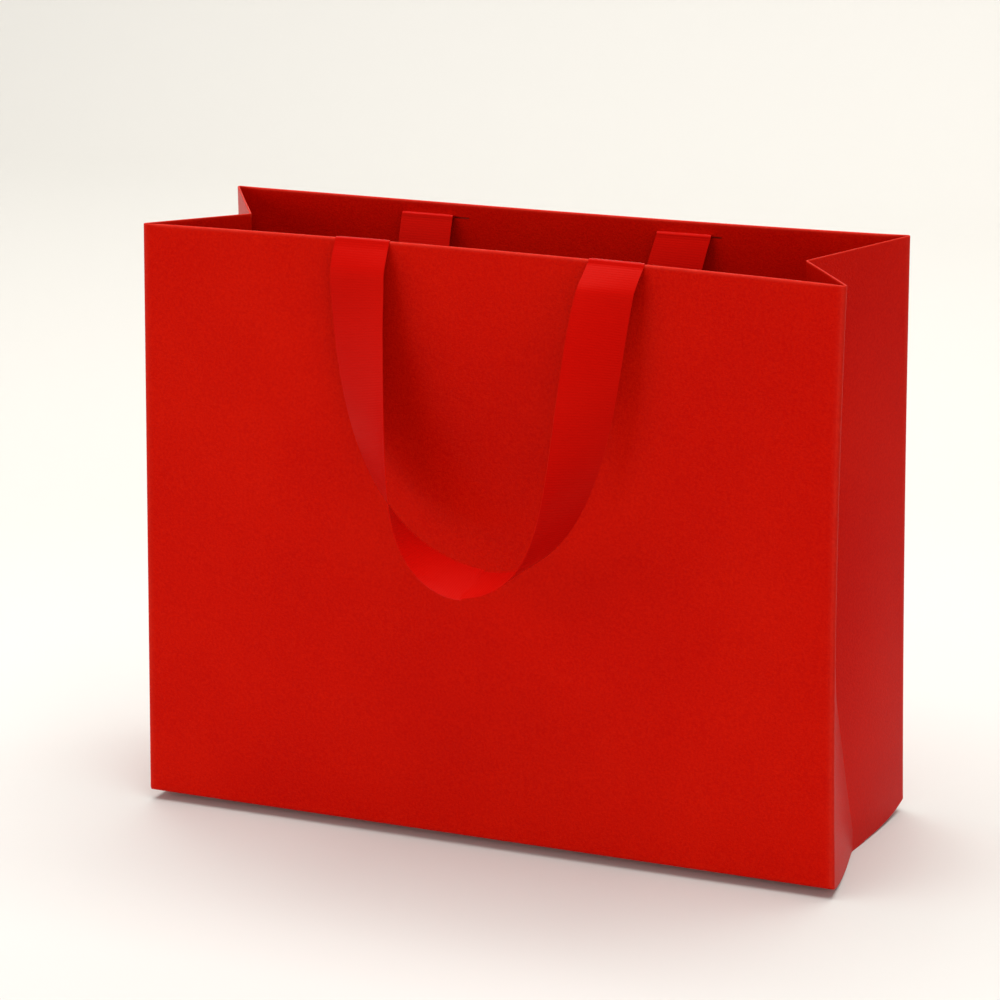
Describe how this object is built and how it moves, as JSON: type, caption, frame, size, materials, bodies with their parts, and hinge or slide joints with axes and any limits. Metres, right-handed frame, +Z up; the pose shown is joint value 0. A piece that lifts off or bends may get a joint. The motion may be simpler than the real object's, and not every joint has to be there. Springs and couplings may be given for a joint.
{
  "type": "gift bag",
  "caption": "Landscape red paper gift bag with pleated side gussets, a card-stiffened mouth and two flat ribbon handles, one hanging outside and one inside.",
  "frame": {"origin": "on the resting plane, under the middle of the base", "axes": "+X to the right along the width as seen from the front, +Y from front to rear, +Z up towards the mouth"},
  "size_m": [0.32, 0.1582, 0.2644],
  "materials": {
    "paper": "dyed-through red embossed art paper, fine pebble grain, satin sheen",
    "ribbon": "red woven ribbon with fine cross ribs and a soft satin sheen",
    "card": "stiff card, smooth, matt, covered in the same red"
  },
  "bodies": {
    "shell": {"right_gusset_front": "paper", "right_gusset_rear": "paper", "left_gusset_front": "paper", "left_gusset_rear": "paper", "right_gusset_hem_front": "paper", "right_gusset_hem_rear": "paper", "left_gusset_hem_front": "paper", "left_gusset_hem_rear": "paper", "base_front_flap": "paper", "base_rear_flap": "paper", "base_right_flap": "paper", "base_left_flap": "paper", "base_card": "card"},
    "front": {"front_panel": "paper", "front_hem": "paper", "front_top_card": "card", "front_ribbon_end_left": "ribbon", "front_ribbon_end_right": "ribbon"},
    "rear": {"rear_panel": "paper", "rear_hem": "paper", "rear_top_card": "card", "side_seam_flap": "paper", "rear_ribbon_end_left": "ribbon", "rear_ribbon_end_right": "ribbon"},
    "front_handle": {"front_handle_ribbon": "ribbon"},
    "rear_handle": {"rear_handle_ribbon": "ribbon"}
  },
  "joints": [
    {"name": "mouth_front", "type": "hinge", "parent": "shell", "child": "front", "pos_m": [0, -0.055, 0.005], "axis": [1, 0, 0], "range_deg": [-6.9, 1.6], "deforming": ["right_gusset_front", "right_gusset_rear", "left_gusset_front", "left_gusset_rear", "right_gusset_hem_front", "right_gusset_hem_rear", "left_gusset_hem_front", "left_gusset_hem_rear"]},
    {"name": "mouth_rear", "type": "hinge", "parent": "shell", "child": "rear", "pos_m": [0, 0.055, 0.005], "axis": [-1, 0, 0], "range_deg": [-9.73, 2.26]},
    {"name": "front_handle_swing", "type": "hinge", "parent": "front", "child": "front_handle", "pos_m": [0, -0.04229, 0.26411], "axis": [-1, 0, 0], "range_deg": [0, 180]},
    {"name": "rear_handle_swing", "type": "hinge", "parent": "rear", "child": "rear_handle", "pos_m": [0, 0.04324, 0.25814], "axis": [-1, 0, 0], "range_deg": [0, 190], "deforming": ["rear_handle_ribbon"]}
  ],
  "couplings": [
    {"joint": "mouth_rear", "follows": "mouth_front", "ratio": 1.41}
  ]
}
